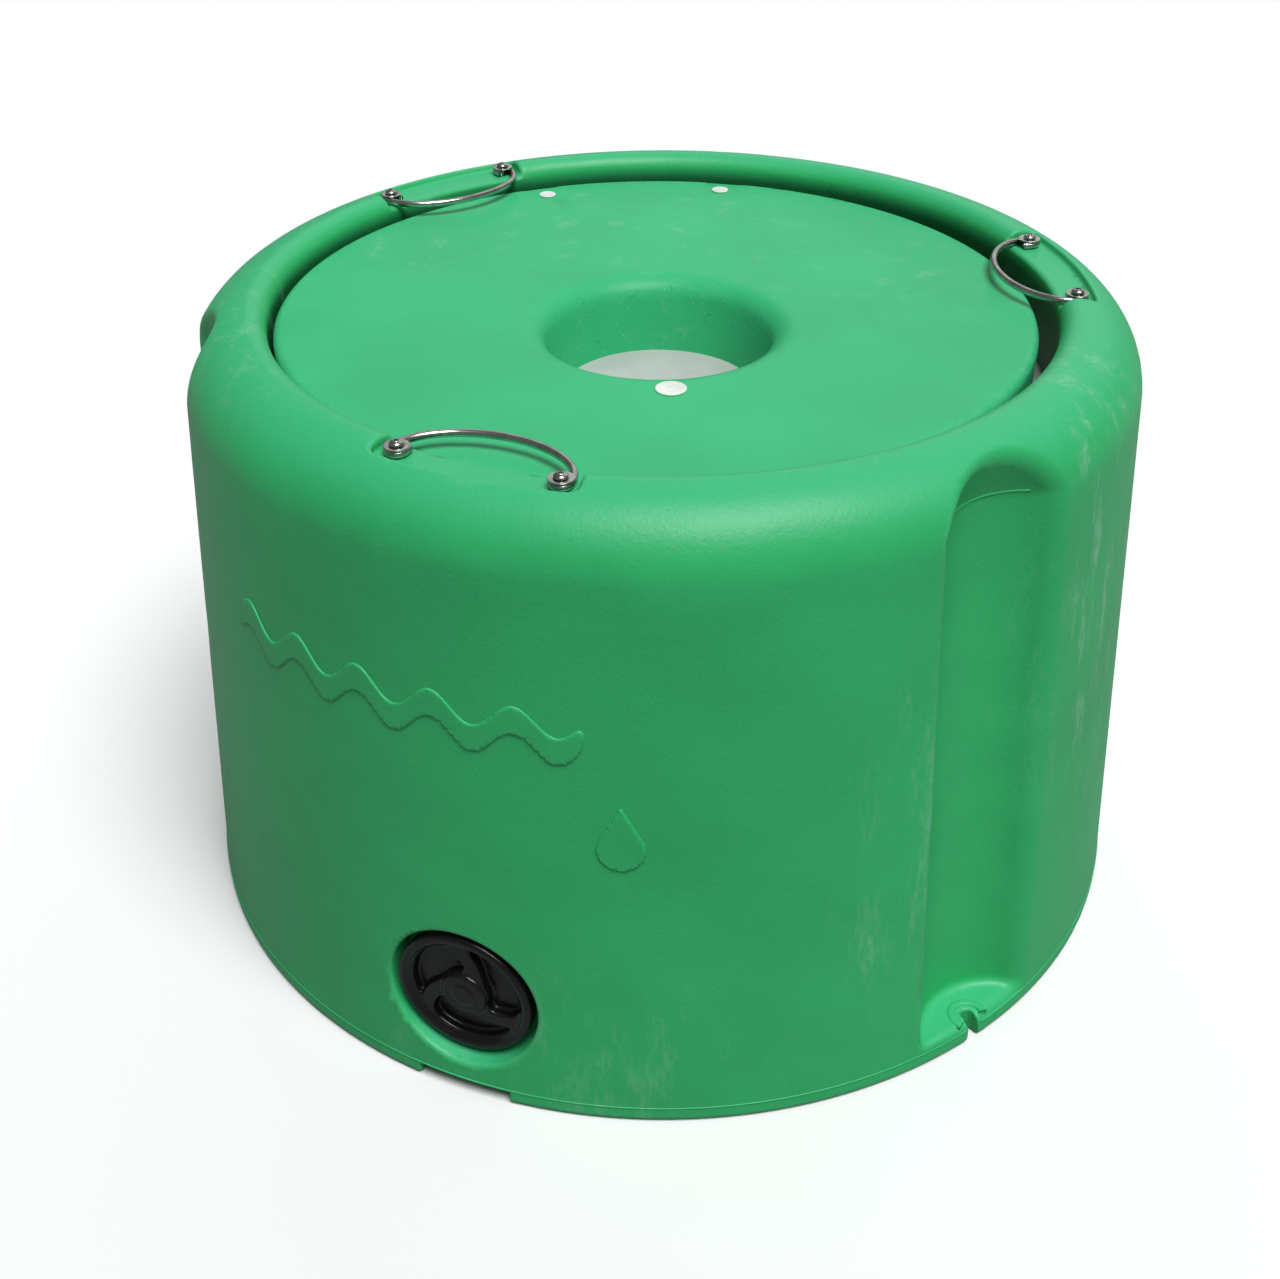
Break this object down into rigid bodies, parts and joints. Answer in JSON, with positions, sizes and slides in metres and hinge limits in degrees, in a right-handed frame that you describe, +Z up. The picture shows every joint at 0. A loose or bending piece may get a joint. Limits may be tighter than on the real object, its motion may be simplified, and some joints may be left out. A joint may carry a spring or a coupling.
{
  "type": "livestock drinking fountain",
  "caption": "Round insulated livestock drinker with a floating lid over its tank, an off-centre drinking hole, wire loops, a screw drain plug and a float valve.",
  "frame": {"origin": "centre of the base on the ground", "axes": "+Z up; -Y out of the drain side; the first retaining loop, the drain and the foot notch are on -Y"},
  "size_m": [1.1162, 1.1158, 0.7009],
  "materials": {
    "green_plastic": "satin",
    "lid_plastic": "satin",
    "foam": "matte",
    "black_plastic": "satin",
    "black_gloss": "gloss",
    "white_plastic": "satin",
    "blue_plastic": "satin",
    "rubber": "matte",
    "steel": "satin",
    "brass": "satin"
  },
  "bodies": {
    "body": {"body_shell": "green_plastic", "body_foam": "foam", "base_plug_1": "black_plastic", "base_plug_2": "black_plastic", "base_plug_3": "black_plastic", "loop_1": "steel", "loop_2": "steel", "loop_3": "steel", "loop_screw_1": "steel", "loop_washer_1": "steel", "loop_insert_1": "brass", "loop_screw_2": "steel", "loop_washer_2": "steel", "loop_insert_2": "brass", "loop_screw_3": "steel", "loop_washer_3": "steel", "loop_insert_3": "brass", "loop_screw_4": "steel", "loop_washer_4": "steel", "loop_insert_4": "brass", "loop_screw_5": "steel", "loop_washer_5": "steel", "loop_insert_5": "brass", "loop_screw_6": "steel", "loop_washer_6": "steel", "loop_insert_6": "brass", "drain_bush": "black_plastic", "inlet_pipe": "black_plastic", "inlet_nut_low": "black_plastic", "inlet_gasket": "rubber", "inlet_nut_top": "black_plastic", "valve_body": "white_plastic", "lever_pin": "steel"},
    "lid": {"lid_shell": "lid_plastic", "lid_foam": "foam", "lid_plug_front": "white_plastic", "lid_plug_back_1": "white_plastic", "lid_plug_back_2": "white_plastic"},
    "plug_carrier": {"drain_seal": "rubber"},
    "drain_plug": {"drain_plug": "black_gloss"},
    "lever": {"float_lever": "brass", "float_ball": "blue_plastic"},
    "plunger": {"valve_plunger": "brass"}
  },
  "joints": [
    {"name": "lid_float", "type": "slide", "parent": "body", "child": "lid", "axis": [0, 0, 1], "range_m": [-0.08, 0.009], "stiffness_N_per_m": 4885, "springref_m": 0.0169},
    {"name": "plug_travel", "type": "slide", "parent": "body", "child": "plug_carrier", "axis": [0, -1, 0], "range_m": [0, 0.0181]},
    {"name": "plug_turn", "type": "hinge", "parent": "plug_carrier", "child": "drain_plug", "pos_m": [0, -0.5157, 0.127], "axis": [0, -1, 0], "range_deg": [0, 1080]},
    {"name": "lever_turn", "type": "hinge", "parent": "body", "child": "lever", "pos_m": [0, 0.137, 0.428], "axis": [-1, 0, 0], "range_deg": [0, 28], "stiffness_Nm_per_rad": 0.6, "springref_deg": -22.92},
    {"name": "plunger_travel", "type": "slide", "parent": "body", "child": "plunger", "axis": [0, 1, 0], "range_m": [0, 0.0015]}
  ],
  "couplings": [
    {"joint": "plug_travel", "follows": "plug_turn", "m_per_rad": 0.00095493},
    {"joint": "plunger_travel", "follows": "lever_turn", "m_per_rad": 0.003}
  ]
}
